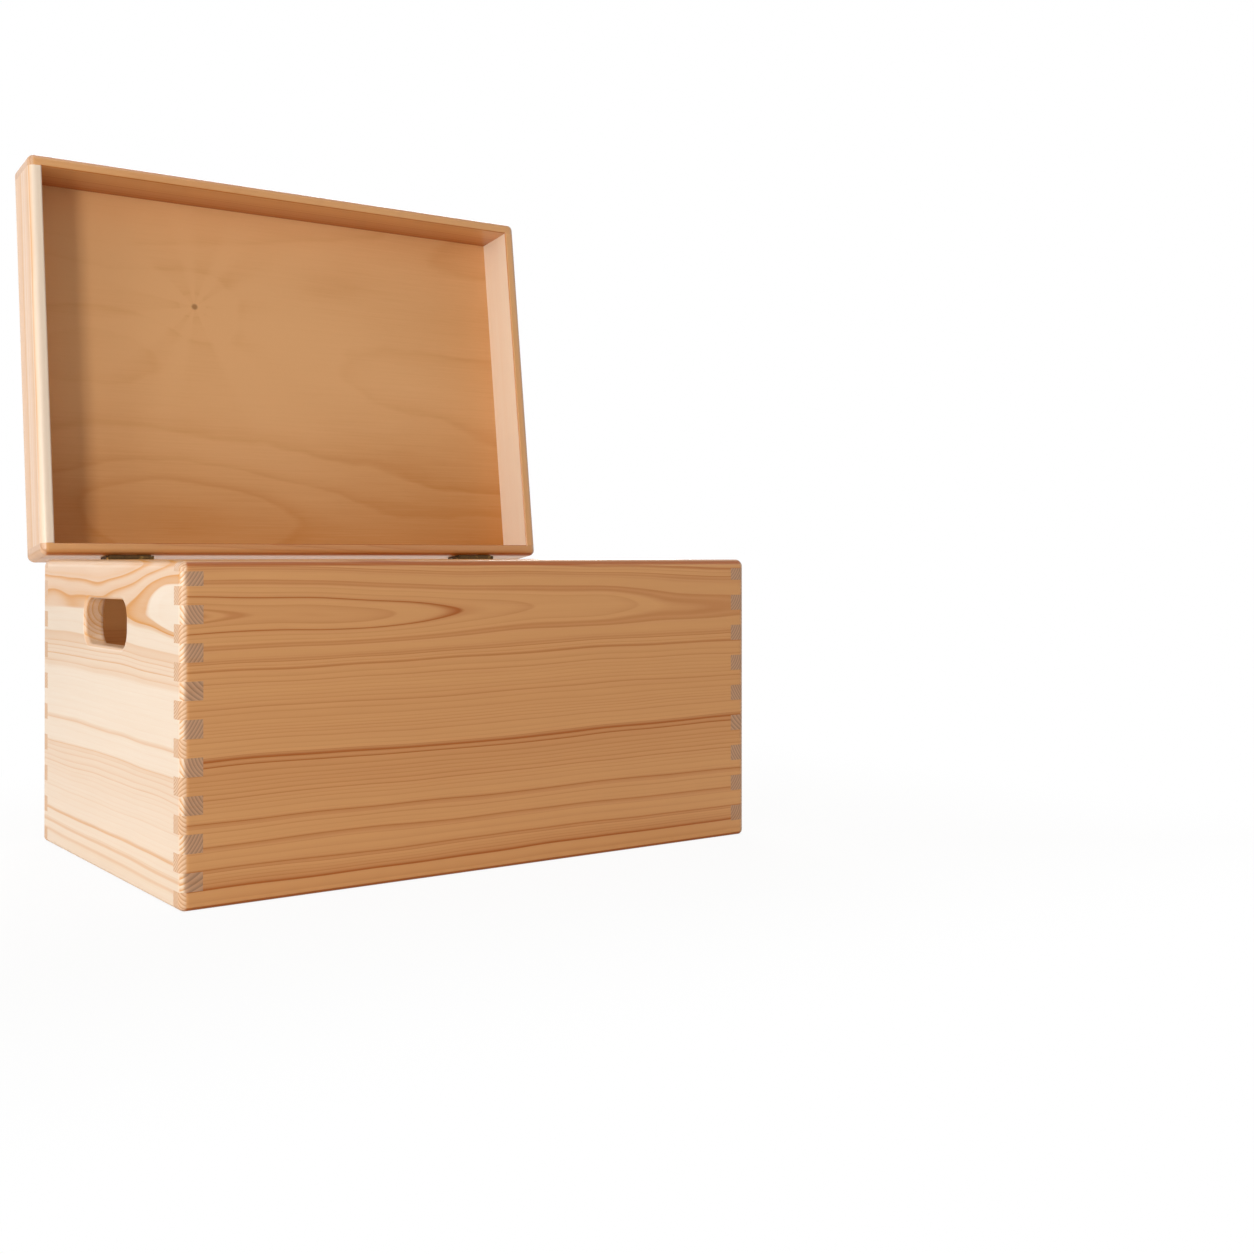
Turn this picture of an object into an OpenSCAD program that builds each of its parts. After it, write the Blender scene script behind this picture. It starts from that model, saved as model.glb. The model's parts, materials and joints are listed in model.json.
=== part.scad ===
// Wooden keepsake box: a comb-jointed pine body and a hinged lid, drawn with the lid open.
// Millimetres, +Z up, +X to the right, -Y to the front.
// The origin is the middle of the face that the box stands on.

/* [Box body] */
// Length of the box, left to right
box_w = 400; // [320:10:480]
// Depth of the box, front to back
box_d = 300; // [240:10:360]
// Height of the body, up to its rim
body_h = 200; // [160:5:260]
// Thickness of the body's boards
wall_t = 12.5; // [9:0.5:14]
// Rounding of the upright corners and of the rim's outer edge
body_edge_r = 5; // [4:0.5:7]
// Rounding of the edges that the box stands on
foot_edge_r = 3; // [1:0.5:4]
// Rounding of the rim's inner edge
rim_inner_r = 2; // [0.5:0.5:2]

/* [Comb joints] */
// Height of one finger
finger_h = 10.9; // [8:0.1:15]
// Height of the topmost finger of the side walls
top_finger_h = 8.4; // [6:0.1:12]
// Least height of the strip of front wall above that finger
least_top_lap = 5; // [4:0.5:8]

/* [Hand holes] */
// Width of a hand hole, front to back
hand_w = 92; // [70:1:110]
// Height of a hand hole
hand_h = 30; // [26:1:40]
// Distance from the rim down to a hand hole
hand_drop = 25; // [18:1:40]
// Corner radius of a hand hole
hand_corner_r = 12; // [8:0.5:12.5]
// Rounding of a hand hole's edges
hand_edge_r = 2.5; // [1:0.5:4]

/* [Bottom] */
// Thickness of the plywood bottom
bottom_t = 4; // [3:0.5:6]
// How far the rebate for the bottom is cut into the walls
rebate_depth = 5; // [3:0.5:5.5]

/* [Lid] */
// Height of the closed lid
lid_h = 45; // [35:1:60]
// Thickness of the lid's rails
rail_t = 9; // [9:0.5:14]
// Thickness of the plywood that covers the lid's rails
lid_panel_t = 4; // [3:0.5:5]
// Rounding of the lid's outer edges
lid_edge_r = 5; // [3.5:0.5:6]
// Rounding of the inner edge of the lid's rim
lid_inner_r = 1.5; // [0.5:0.5:2]
// Gap between the two rims when the lid is closed
lid_gap = 0.4; // [0.3:0.1:1]
// How far the lid opens, in degrees
open_angle = 98; // [90:1:100]

/* [Hinges] */
// Length of a hinge, left to right
hinge_w = 32; // [26:1:44]
// Distance from the middle of a hinge to the end of the box
hinge_inset = 60; // [40:1:90]
// Height of one leaf, from the pin to its free edge
leaf_h = 19; // [17:0.5:24]
// Thickness of the sheet metal
leaf_t = 1.2; // [1:0.1:1.4]
// Corner radius of a leaf
leaf_corner_r = 2.5; // [1:0.5:4]
// Outer diameter of the knuckles
knuckle_d = 6; // [5.4:0.2:7]
// Diameter of the hinge pin
pin_d = 2.4; // [2:0.2:2.8]
// Diameter of the pin's heads
pin_head_d = 4; // [3.6:0.2:5]
// Height of the pin's heads
pin_head_h = 0.8; // [0.6:0.1:1.2]
// How far the stop ears reach behind the pin
ear_reach = 9; // [6:0.5:12]
// How far the stop ears reach below the pin
ear_drop = 7; // [5:0.5:8]

/* [Screws] */
// Diameter of the shank
screw_d = 2.6; // [2.2:0.1:3]
// Diameter of the head
screw_head_d = 5; // [4.4:0.2:5.6]
// Length from under the dome to the tip
screw_l = 9; // [8:0.5:9.5]
// Length of the tip's cone
screw_tip_l = 2.5; // [1.5:0.1:3.5]
// Height of the head's dome over the leaf
screw_dome_h = 0.5; // [0.3:0.1:0.8]
// Distance between the two screws of a leaf
screw_spacing = 18; // [14:1:22]
// Distance from a screw to the leaf's free edge
screw_edge = 6; // [5:0.5:8]
// Width of the cross slots
slot_w = 0.7; // [0.5:0.1:0.9]
// Length of the cross slots
slot_l = 3; // [2.4:0.1:3.6]
// Depth of the cross slots below the top of the dome
slot_depth = 0.9; // [0.6:0.1:1.1]

/* [Fits] */
// Free space around the edge of the bottom in its rebate
bottom_fit = 0.3; // [0.1:0.1:0.5]
// Space between neighbouring knuckles, and between the knuckles and the wood
knuckle_gap = 0.2; // [0.15:0.05:0.4]
// Space around the pin
pin_fit = 0.05; // [0.03:0.01:0.08]
// Space around a screw
screw_fit = 0.05; // [0.02:0.01:0.1]
// Space between a stop ear and the leaf that it stops
stop_fit = 0.05; // [0.02:0.01:0.1]

/* [Hidden] */
$fn = 64;
LEFT = -1;
RIGHT = 1;
FRONT = -1;
BACK = 1;
BOTH = [-1, 1];
over = 1; // how far a cutter runs past the face that it cuts

inner_w = box_w - 2 * wall_t;
inner_d = box_d - 2 * wall_t;
lid_rail_h = lid_h - lid_panel_t;

// Fingers are counted from the standing face up. The even ones belong to the front and back.
finger_count = 2 * floor(((body_h - top_finger_h - least_top_lap) / finger_h + 1) / 2) - 1;
top_finger_z = finger_count * finger_h;
top_lap_z = top_finger_z + top_finger_h;
side_fingers = concat([for (i = [1 : 2 : finger_count - 2]) [i * finger_h, finger_h]],
                      [[top_finger_z, top_finger_h]]);
front_fingers = concat([for (i = [0 : 2 : finger_count - 1]) [i * finger_h, finger_h]],
                       [[top_lap_z, body_h - top_lap_z]]);

// The pins lie behind the box, level with the middle of the closed gap.
pin_offset = knuckle_d / 2 + knuckle_gap;
pin_y = box_d / 2 + pin_offset;
pin_z = body_h + lid_gap / 2;
hinge_x = box_w / 2 - hinge_inset;
leaf_start = pin_offset + knuckle_gap; // where a leaf begins, measured from the pin
knuckle_l = (hinge_w - 2 * leaf_t - 4 * knuckle_gap) / 3;
screw_reach = leaf_h - screw_edge;

// ---- Sections, drawn in the XY plane and centred on x = 0 ----

// What rounding takes off the two lower corners of a section as wide as w
module lower_corner_cuts(w, r) {
    for (side = BOTH) {
        difference() {
            translate([side * w / 2 - r, -over]) square([2 * r, r + over]);
            translate([side * (w / 2 - r), r]) circle(r);
        }
    }
}

// A block's section: upper corners rounded by top_r, lower ones by foot_r
module block_section(w, h, top_r, foot_r) {
    difference() {
        translate([-w / 2, 0]) square([w, h]);
        lower_corner_cuts(w, foot_r);
        translate([0, h]) mirror([0, 1]) lower_corner_cuts(w, top_r);
    }
}

// A hollow's section: straight sides that flare by edge_r at the mouth, where y = h
module hollow_section(w, h, edge_r) {
    difference() {
        translate([-w / 2 - edge_r, 0]) square([w + 2 * edge_r, h + over]);
        for (side = BOTH) {
            translate([side * (w / 2 + edge_r), h - edge_r]) circle(edge_r);
            translate([side * (w / 2 + edge_r) - edge_r, -over]) square([2 * edge_r, h - edge_r + over]);
        }
    }
}

// A slot's section through a board: it flares by edge_r at both faces, y = 0 and y = t
module slot_section(w, t, edge_r) {
    difference() {
        translate([-w / 2 - edge_r, -over]) square([w + 2 * edge_r, t + 2 * over]);
        for (side = BOTH) {
            for (y = [edge_r, t - edge_r]) translate([side * (w / 2 + edge_r), y]) circle(edge_r);
            translate([side * (w / 2 + edge_r) - edge_r, edge_r]) square([2 * edge_r, t - 2 * edge_r]);
        }
    }
}

// ---- Solids that several pieces share ----

// Runs a section along X or along Y, centred, with the section's own y pointing up
module run_along_x(length) {
    rotate([90, 0, 90]) linear_extrude(length, center = true) children();
}
module run_along_y(length) {
    rotate([90, 0, 0]) linear_extrude(length, center = true) children();
}

// Turns the right half of a section about the Z axis
module turned() {
    rotate_extrude() intersection() {
        children();
        translate([0, -2 * body_h]) square([box_w, 4 * body_h]);
    }
}

// A block standing on z = 0 with all its outer edges rounded
module rounded_block(w, d, h, edge_r, top_r, foot_r) {
    run_along_x(w - 2 * edge_r) block_section(d, h, top_r, foot_r);
    run_along_y(d - 2 * edge_r) block_section(w, h, top_r, foot_r);
    for (x = BOTH, y = BOTH) {
        translate([x * (w / 2 - edge_r), y * (d / 2 - edge_r), 0])
            turned() block_section(2 * edge_r, h, top_r, foot_r);
    }
}

// The space inside four boards, from z = 0 up to its mouth at z = h
module inner_space(w, d, h, edge_r) {
    intersection() {
        run_along_x(w + 4 * edge_r) hollow_section(d, h, edge_r);
        run_along_y(d + 4 * edge_r) hollow_section(w, h, edge_r);
    }
}

// A spherical cap with its flat side on z = 0
module dome(d, h) {
    ball_r = (d * d / 4 + h * h) / (2 * h);
    intersection() {
        translate([0, 0, h - ball_r]) sphere(ball_r);
        cylinder(d = d, h = 2 * h);
    }
}

// ---- Body ----

module body_block() {
    top_r = min(body_edge_r, wall_t - rim_inner_r);
    rounded_block(box_w, box_d, body_h, top_r, top_r, foot_edge_r);
}

module body_space() {
    translate([0, 0, -over]) inner_space(inner_w, inner_d, body_h + over, rim_inner_r);
}

// The rebate is open downwards, so that the bottom lies flush with the walls' standing edges.
module bottom_rebate() {
    rebate_w = inner_w + 2 * rebate_depth;
    rebate_d = inner_d + 2 * rebate_depth;
    translate([-rebate_w / 2, -rebate_d / 2, -over]) cube([rebate_w, rebate_d, bottom_t + over]);
}

// A board's outline with a notch at both ends for each of the other board's fingers
module comb_outline(length, notches) {
    difference() {
        translate([-length / 2, 0]) square([length, body_h]);
        for (notch = notches, side = BOTH) {
            translate([side * length / 2 - wall_t, notch[0]]) square([2 * wall_t, notch[1]]);
        }
    }
}

// side is FRONT or BACK
module long_wall(side) {
    difference() {
        intersection() {
            body_block();
            translate([0, side * (box_d - wall_t) / 2, 0])
                run_along_y(wall_t) comb_outline(box_w, side_fingers);
        }
        body_space();
        bottom_rebate();
    }
}

module hand_hole() {
    corner_r = min(hand_corner_r, hand_h / 2 - 0.5);
    run_along_x(hand_w - 2 * corner_r) slot_section(hand_h, wall_t, hand_edge_r);
    run_along_y(hand_h - 2 * corner_r) slot_section(hand_w, wall_t, hand_edge_r);
    for (x = BOTH, y = BOTH) {
        translate([x * (hand_w / 2 - corner_r), y * (hand_h / 2 - corner_r), 0])
            turned() slot_section(2 * corner_r, wall_t, hand_edge_r);
    }
}

// side is LEFT or RIGHT
module short_wall(side) {
    difference() {
        intersection() {
            body_block();
            translate([side * (box_w - wall_t) / 2, 0, 0])
                run_along_x(wall_t) comb_outline(box_d, front_fingers);
        }
        body_space();
        bottom_rebate();
        translate([side * (box_w - wall_t) / 2 - wall_t / 2, 0, body_h - hand_drop - hand_h / 2])
            rotate([90, 0, 90]) hand_hole();
    }
}

module front_wall() {
    color("burlywood") long_wall(FRONT);
}

module back_wall() {
    color("burlywood") difference() {
        long_wall(BACK);
        for (side = BOTH) at_hinge(side) downwards() screw_holes();
    }
}

module left_wall() {
    color("wheat") short_wall(LEFT);
}

module right_wall() {
    color("wheat") short_wall(RIGHT);
}

module bottom_panel() {
    panel_w = inner_w + 2 * (rebate_depth - bottom_fit);
    panel_d = inner_d + 2 * (rebate_depth - bottom_fit);
    color("tan") translate([-panel_w / 2, -panel_d / 2, 0]) cube([panel_w, panel_d, bottom_t]);
}

// ---- Lid, drawn closed and then swung open ----

module lid_open() {
    translate([0, pin_y, pin_z]) rotate([-open_angle, 0, 0]) translate([0, -pin_y, -pin_z]) children();
}

module on_body_rim() {
    translate([0, 0, body_h + lid_gap]) children();
}

module lid_block() {
    edge_r = min(lid_edge_r, rail_t - lid_inner_r);
    rounded_block(box_w, box_d, lid_h, edge_r, edge_r, edge_r);
}

module lid_space() {
    translate([0, 0, lid_rail_h + over]) mirror([0, 0, 1])
        inner_space(box_w - 2 * rail_t, box_d - 2 * rail_t, lid_rail_h + over, lid_inner_r);
}

// What the lid's block holds between two corners
module lid_slice(low, high) {
    intersection() {
        lid_block();
        translate(low) cube(high - low);
    }
}

module lid_rail(low, high) {
    lid_open() on_body_rim() difference() {
        lid_slice(low, high);
        lid_space();
    }
}

// side is FRONT or BACK; these two rails run through from end to end
module lid_long_rail(side) {
    y = side * (box_d - rail_t) / 2;
    lid_rail([-box_w / 2, y - rail_t / 2, 0], [box_w / 2, y + rail_t / 2, lid_rail_h]);
}

// side is LEFT or RIGHT; these two rails fit between the long ones
module lid_short_rail(side) {
    x = side * (box_w - rail_t) / 2;
    lid_rail([x - rail_t / 2, rail_t - box_d / 2, 0], [x + rail_t / 2, box_d / 2 - rail_t, lid_rail_h]);
}

module lid_front_rail() {
    color("burlywood") lid_long_rail(FRONT);
}

module lid_back_rail() {
    color("burlywood") difference() {
        lid_long_rail(BACK);
        lid_open() for (side = BOTH) at_hinge(side) screw_holes();
    }
}

module lid_left_rail() {
    color("wheat") lid_short_rail(LEFT);
}

module lid_right_rail() {
    color("wheat") lid_short_rail(RIGHT);
}

module lid_panel() {
    color("bisque") lid_open() on_body_rim()
        lid_slice([-box_w / 2, -box_d / 2, lid_rail_h], [box_w / 2, box_d / 2, lid_h]);
}

// ---- Hinges, drawn round the pin with the leaf pointing up against wood at y = -pin_offset ----

module at_hinge(side) {
    translate([side * hinge_x, pin_y, pin_z]) children();
}

module downwards() {
    mirror([0, 0, 1]) children();
}

// Places its children on the leaf's back, at each screw, with +Z pointing out of the wood
module at_screws() {
    for (side = BOTH) {
        translate([side * screw_spacing / 2, leaf_t - pin_offset, screw_reach]) rotate([-90, 0, 0]) children();
    }
}

// The room for a screw, its pilot hole in the wood included
module screw_holes() {
    fit = 2 * screw_fit;
    at_screws() {
        translate([0, 0, -leaf_t]) cylinder(d1 = screw_d + fit, d2 = screw_head_d + fit, h = leaf_t);
        translate([0, 0, -screw_l - screw_fit]) cylinder(d = screw_d + fit, h = screw_l + screw_fit);
    }
}

module screws() {
    at_screws() difference() {
        union() {
            dome(screw_head_d, screw_dome_h);
            translate([0, 0, -leaf_t]) cylinder(d1 = screw_d, d2 = screw_head_d, h = leaf_t);
            translate([0, 0, screw_tip_l - screw_l]) cylinder(d = screw_d, h = screw_l - screw_tip_l);
            translate([0, 0, -screw_l]) cylinder(d1 = 0, d2 = screw_d, h = screw_tip_l);
        }
        for (turn = [0, 90]) {
            rotate(turn) translate([-slot_l / 2, -slot_w / 2, screw_dome_h - slot_depth])
                cube([slot_l, slot_w, slot_depth + over]);
        }
    }
}

// Sheet metal with its own roots at the given x positions, where it wraps into knuckles
module leaf_plate(knuckles) {
    translate([0, leaf_t - pin_offset, 0]) rotate([90, 0, 0]) linear_extrude(leaf_t) {
        difference() {
            translate([-hinge_w / 2, leaf_start]) square([hinge_w, leaf_h - leaf_start]);
            translate([0, leaf_h]) mirror([0, 1]) lower_corner_cuts(hinge_w, leaf_corner_r);
        }
        for (x = knuckles) translate([x - knuckle_l / 2, 0]) square([knuckle_l, leaf_start + over]);
    }
}

module knuckled_leaf(knuckles) {
    difference() {
        union() {
            leaf_plate(knuckles);
            for (x = knuckles) {
                translate([x - knuckle_l / 2, 0, 0]) rotate([0, 90, 0]) cylinder(d = knuckle_d, h = knuckle_l);
            }
        }
        pin_bore();
        screw_holes();
    }
}

module pin_bore() {
    rotate([0, 90, 0]) cylinder(d = pin_d + 2 * pin_fit, h = hinge_w + 2 * over, center = true);
}

// A flange folded back at an end of the body leaf: it carries the pin and stops the lid's leaf
module stop_ear() {
    lean = open_angle - 90;
    stop_h = pin_offset - leaf_t - stop_fit;
    nose_h = stop_h / cos(lean) - ear_reach * tan(lean);
    run_along_x(leaf_t) intersection() {
        polygon([[-pin_offset, -ear_drop],
                 [-pin_offset, stop_h / cos(lean) + pin_offset * tan(lean)],
                 [ear_reach, nose_h],
                 [ear_reach, -pin_d],
                 [0, -ear_drop]]);
        circle(ear_reach);
    }
}

module body_leaf(side) {
    color("darkgoldenrod") at_hinge(side) difference() {
        union() {
            downwards() knuckled_leaf([0]);
            for (end = BOTH) translate([end * (hinge_w - leaf_t) / 2, 0, 0]) stop_ear();
        }
        pin_bore();
    }
}

module lid_leaf(side) {
    pitch = knuckle_l + knuckle_gap;
    color("darkgoldenrod") lid_open() at_hinge(side) knuckled_leaf([-pitch, pitch]);
}

module hinge_pin(side) {
    color("goldenrod") at_hinge(side) {
        rotate([0, 90, 0]) cylinder(d = pin_d, h = hinge_w + 2 * pin_fit, center = true);
        for (end = BOTH) {
            translate([end * (hinge_w / 2 + pin_fit), 0, 0]) rotate([0, end * 90, 0]) dome(pin_head_d, pin_head_h);
        }
    }
}

module body_screws(side) {
    color("goldenrod") at_hinge(side) downwards() screws();
}

module lid_screws(side) {
    color("goldenrod") lid_open() at_hinge(side) screws();
}

module left_hinge_body_leaf() { body_leaf(LEFT); }
module left_hinge_lid_leaf() { lid_leaf(LEFT); }
module left_hinge_pin() { hinge_pin(LEFT); }
module left_hinge_body_screws() { body_screws(LEFT); }
module left_hinge_lid_screws() { lid_screws(LEFT); }
module right_hinge_body_leaf() { body_leaf(RIGHT); }
module right_hinge_lid_leaf() { lid_leaf(RIGHT); }
module right_hinge_pin() { hinge_pin(RIGHT); }
module right_hinge_body_screws() { body_screws(RIGHT); }
module right_hinge_lid_screws() { lid_screws(RIGHT); }

front_wall();
back_wall();
left_wall();
right_wall();
bottom_panel();
lid_front_rail();
lid_back_rail();
lid_left_rail();
lid_right_rail();
lid_panel();
left_hinge_body_leaf();
left_hinge_lid_leaf();
left_hinge_pin();
left_hinge_body_screws();
left_hinge_lid_screws();
right_hinge_body_leaf();
right_hinge_lid_leaf();
right_hinge_pin();
right_hinge_body_screws();
right_hinge_lid_screws();
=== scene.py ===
"""Finishes the keepsake box: lacquered pine, birch plywood, the printed lid, hinges and a studio."""

import json
import math
from dataclasses import dataclass

import bmesh
import bpy
from bpy.props import FloatProperty, FloatVectorProperty, PointerProperty
from mathutils import Matrix, Vector


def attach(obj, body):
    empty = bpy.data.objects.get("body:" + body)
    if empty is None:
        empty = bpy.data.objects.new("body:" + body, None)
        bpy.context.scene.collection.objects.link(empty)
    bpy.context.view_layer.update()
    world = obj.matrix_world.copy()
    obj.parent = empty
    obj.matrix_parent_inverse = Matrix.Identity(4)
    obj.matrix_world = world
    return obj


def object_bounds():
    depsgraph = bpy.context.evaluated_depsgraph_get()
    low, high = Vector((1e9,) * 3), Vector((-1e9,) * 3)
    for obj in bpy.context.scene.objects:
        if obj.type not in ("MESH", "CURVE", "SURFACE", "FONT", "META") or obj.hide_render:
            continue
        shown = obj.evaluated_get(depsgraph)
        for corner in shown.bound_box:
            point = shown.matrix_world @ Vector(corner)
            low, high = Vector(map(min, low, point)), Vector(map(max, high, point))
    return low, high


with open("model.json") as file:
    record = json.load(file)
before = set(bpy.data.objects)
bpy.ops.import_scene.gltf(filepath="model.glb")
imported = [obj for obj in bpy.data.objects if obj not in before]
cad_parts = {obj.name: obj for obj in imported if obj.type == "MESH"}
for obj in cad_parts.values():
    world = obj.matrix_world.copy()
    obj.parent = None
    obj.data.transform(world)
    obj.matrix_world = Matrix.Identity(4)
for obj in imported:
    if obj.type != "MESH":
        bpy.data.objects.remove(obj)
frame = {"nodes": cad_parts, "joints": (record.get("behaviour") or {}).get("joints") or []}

bl_info = {
    "name": "Keepsake box",
    "version": (1, 0, 0),
    "blender": (4, 5, 0),
    "location": "View3D > Sidebar > Keepsake box",
    "description": "Finishes a wooden keepsake box and sets up its studio",
    "category": "Add Mesh",
}

NODES = frame["nodes"]
HINGE = frame["joints"][0]
CAD_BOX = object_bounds()
MM = 0.001  # metres in a millimetre

RIGHT, BACK, UP = Vector((1, 0, 0)), Vector((0, 1, 0)), Vector((0, 0, 1))
LEFT, FRONT = -RIGHT, -BACK


# ---- Places ----

STILL = Matrix.Identity(4)
PIVOT = Matrix.Translation(HINGE["pos_m"])
SWING = Matrix.Rotation(math.radians(HINGE["range_deg"][1]), 4, Vector(HINGE["axis"]))
CLOSING = PIVOT @ SWING @ PIVOT.inverted()  # shuts the lid, which stands open in the frame


def grain_space(node, across, outward, closing=STILL):
    """The matrix from the frame to a board's own millimetres: x along its grain from the middle,
    y across its face from the lower edge, and z out of its face, which is at 0."""
    turn = Matrix((across.cross(outward), across, outward)).to_4x4() @ closing
    corners = [turn @ v.co for v in NODES[node].data.vertices]
    low, high = (Vector(f(c[i] for c in corners) for i in range(3)) for f in (min, max))
    start = Vector(((low.x + high.x) / 2, low.y, high.z))
    return Matrix.Scale(1 / MM, 4) @ Matrix.Translation(-start) @ turn


def hex_colour(digits):
    """A colour as the shaders take it, from six hexadecimal digits."""
    parts = [int(digits[i:i + 2], 16) / 255 for i in (0, 2, 4)]
    return tuple(c / 12.92 if c <= 0.04045 else ((c + 0.055) / 1.055) ** 2.4 for c in parts)


# ---- Shader maths ----

class Value:
    """A socket of a node tree. Python's operators on it add the Math nodes."""

    def __init__(self, tree, socket):
        self.tree = tree
        self.socket = socket

    def other(self, key):
        """Another output of the same node."""
        return Value(self.tree, self.socket.node.outputs[key])

    def maths(self, operation, *values):
        return self.tree.add("ShaderNodeMath", {"operation": operation}, dict(enumerate(values)))

    def __add__(self, other):
        return self.maths("ADD", self, other)

    def __sub__(self, other):
        return self.maths("SUBTRACT", self, other)

    def __rsub__(self, other):
        return self.maths("SUBTRACT", other, self)

    def __mul__(self, other):
        return self.maths("MULTIPLY", self, other)

    def __truediv__(self, other):
        return self.maths("DIVIDE", self, other)

    def __pow__(self, other):
        return self.maths("POWER", self, other)

    def __mod__(self, other):
        return self.maths("MODULO", self, other)

    def __abs__(self):
        return self.maths("ABSOLUTE", self)

    __radd__ = __add__
    __rmul__ = __mul__

    def floor(self):
        return self.maths("FLOOR", self)

    def fade(self, reach):
        """1 at 0, and less and less further out, by a factor of e for each reach."""
        return self.maths("EXPONENT", self / -reach)

    def rise(self, start, end):
        """0 below start, 1 above end, with a smooth step between them. It falls if end is lower."""
        low, high, first, last = (start, end, 0, 1) if start < end else (end, start, 1, 0)
        return self.tree.add("ShaderNodeMapRange", {"interpolation_type": "SMOOTHSTEP"},
                             {0: self, 1: low, 2: high, 3: first, 4: last})


class Tree:
    """A node tree while it is built."""

    def __init__(self, tree):
        self.tree = tree

    def add(self, kind, settings=None, inputs=None, output=0):
        """Adds a node, sets it, fills its sockets with values or links, and returns an output."""
        node = self.tree.nodes.new(kind)
        for setting, value in (settings or {}).items():
            if setting == "stops":
                self.stop(node.color_ramp, value)
            else:
                setattr(node, setting, value)
        for key, value in (inputs or {}).items():
            self.fill(node.inputs[key], value)
        return Value(self, node.outputs[output])

    def stop(self, ramp, stops):
        """Gives a ramp its stops, each with its place and its level."""
        for _ in stops[2:]:
            ramp.elements.new(1)
        for element, (place, level) in zip(ramp.elements, stops):
            element.position = place
            element.color = (level, level, level, 1)

    def fill(self, socket, value):
        """Gives a socket its value, or links it."""
        if isinstance(value, Value):
            self.tree.links.new(value.socket, socket)
        elif socket.type == "RGBA":
            socket.default_value = (*value[:3], 1)
        else:
            socket.default_value = value

    def split(self, vector):
        """A vector's three parts."""
        east = self.add("ShaderNodeSeparateXYZ", {}, {0: vector})
        return east, east.other(1), east.other(2)

    def mix(self, factor, first, second, blend="MIX"):
        return self.add("ShaderNodeMix", {"data_type": "RGBA", "blend_type": blend},
                        {0: factor, 6: first, 7: second}, output=2)


class Finish(Tree):
    """A material while it is built: a Principled shader and what feeds it."""

    def __init__(self, name, **constants):
        self.material = bpy.data.materials.new(name)
        self.material.use_nodes = True
        super().__init__(self.material.node_tree)
        self.shader = self.tree.nodes["Principled BSDF"]
        for socket, value in constants.items():
            self.feed(socket.replace("_", " "), value)

    def feed(self, socket, value):
        self.fill(self.shader.inputs[socket], value)

    def place(self, space):
        """The point being shaded, in the millimetres of a grain space."""
        here = self.add("ShaderNodeTexCoord", output="Object")
        move, turn, scale = space.decompose()
        return self.add("ShaderNodeMapping", {"vector_type": "POINT"},
                        {0: here, 1: move, 2: turn.to_euler(), 3: scale})

    def facing(self, direction):
        """How squarely the surface faces along a line through the piece, either way."""
        normal = self.add("ShaderNodeTexCoord", output="Normal")
        return abs(self.add("ShaderNodeVectorMath", {"operation": "DOT_PRODUCT"},
                            {0: normal, 1: direction}, output=1))

    def noise(self, place, lengths, seed=0.0, detail=2.0, rough=0.5):
        """Smooth noise whose blots have these lengths in millimetres."""
        scaled = self.add("ShaderNodeVectorMath", {"operation": "DIVIDE"}, {0: place, 1: lengths})
        return self.add("ShaderNodeTexNoise", {"noise_dimensions": "4D"},
                        {"Vector": scaled, "W": seed, "Scale": 1, "Detail": detail,
                         "Roughness": rough})

    def wander(self, value, detail=0.0):
        """Smooth noise along one number."""
        return self.add("ShaderNodeTexNoise", {"noise_dimensions": "1D"},
                        {"W": value, "Scale": 1, "Detail": detail})

    def levels(self, value, stops):
        """A number that runs through a row of levels, each given with its place."""
        reach = stops[-1][0]
        return self.add("ShaderNodeValToRGB",
                        {"stops": [(place / reach, level) for place, level in stops]},
                        {0: value / reach})

    def lot(self, value):
        """A random number for each whole number."""
        return self.add("ShaderNodeTexWhiteNoise", {"noise_dimensions": "1D"}, {"W": value})

    def bump(self, height, depth, strength):
        """Feeds the shader's normal with relief as deep as depth, in metres."""
        self.feed("Normal", self.add("ShaderNodeBump", {},
                                     {"Height": height, "Distance": depth, "Strength": strength}))


# ---- Settings ----

def colour(name, description, digits):
    return FloatVectorProperty(name=name, description=description, default=hex_colour(digits),
                               size=3, subtype="COLOR", min=0, max=1)


class WoodSettings(bpy.types.PropertyGroup):
    """What the pine and the plywood look like"""
    # The warm colours are darker and more orange than the pale ones. This is partly the boards' own
    # tone and partly painted shade, as the long boards face front and back, away from the light on the
    # left.
    pale: colour("Pale pine", "Early wood of the short boards", "F3E5D5")
    pale_line: colour("Pale pine's lines", "Late wood of the short boards", "D99330")
    warm: colour("Warm pine", "Early wood of the long boards", "E5AF75")
    warm_line: colour("Warm pine's lines", "Late wood of the long boards", "B0601F")
    # Painted shade and light in the end grain: the darker end colour shows in the front and back
    # faces, which are in shade, and the lighter warm end colour shows in the lit sides.
    end: colour("End grain", "Sawn ends of the short boards", "C99A76")
    end_line: colour("End grain's lines", "Late wood in those ends", "91694A")
    warm_end: colour("Warm end grain", "Sawn ends of the long boards", "EDCDAE")
    warm_end_line: colour("Warm end grain's lines", "Late wood in those ends", "C4926A")
    birch: colour("Birch", "Face of the plywood", "EDD3B3")
    birch_line: colour("Birch's lines", "Contours and flecks of the plywood", "CF9C68")
    core: colour("Core", "Middle layer in the plywood's edge", "A8794E")
    # The inner birch is more orange than the outer. This is partly because the veneers differ and
    # partly painted shade for the lid's recessed inside.
    inside: colour("Inner birch", "Inner face of the lid's plywood", "E9B682")
    inside_line: colour("Inner birch's lines", "Contours on that face", "C58443")
    gloss: FloatProperty(name="Lacquer", description="How much gloss the lacquer adds",
                         default=0.8, min=0, max=1, subtype="FACTOR")


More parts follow.
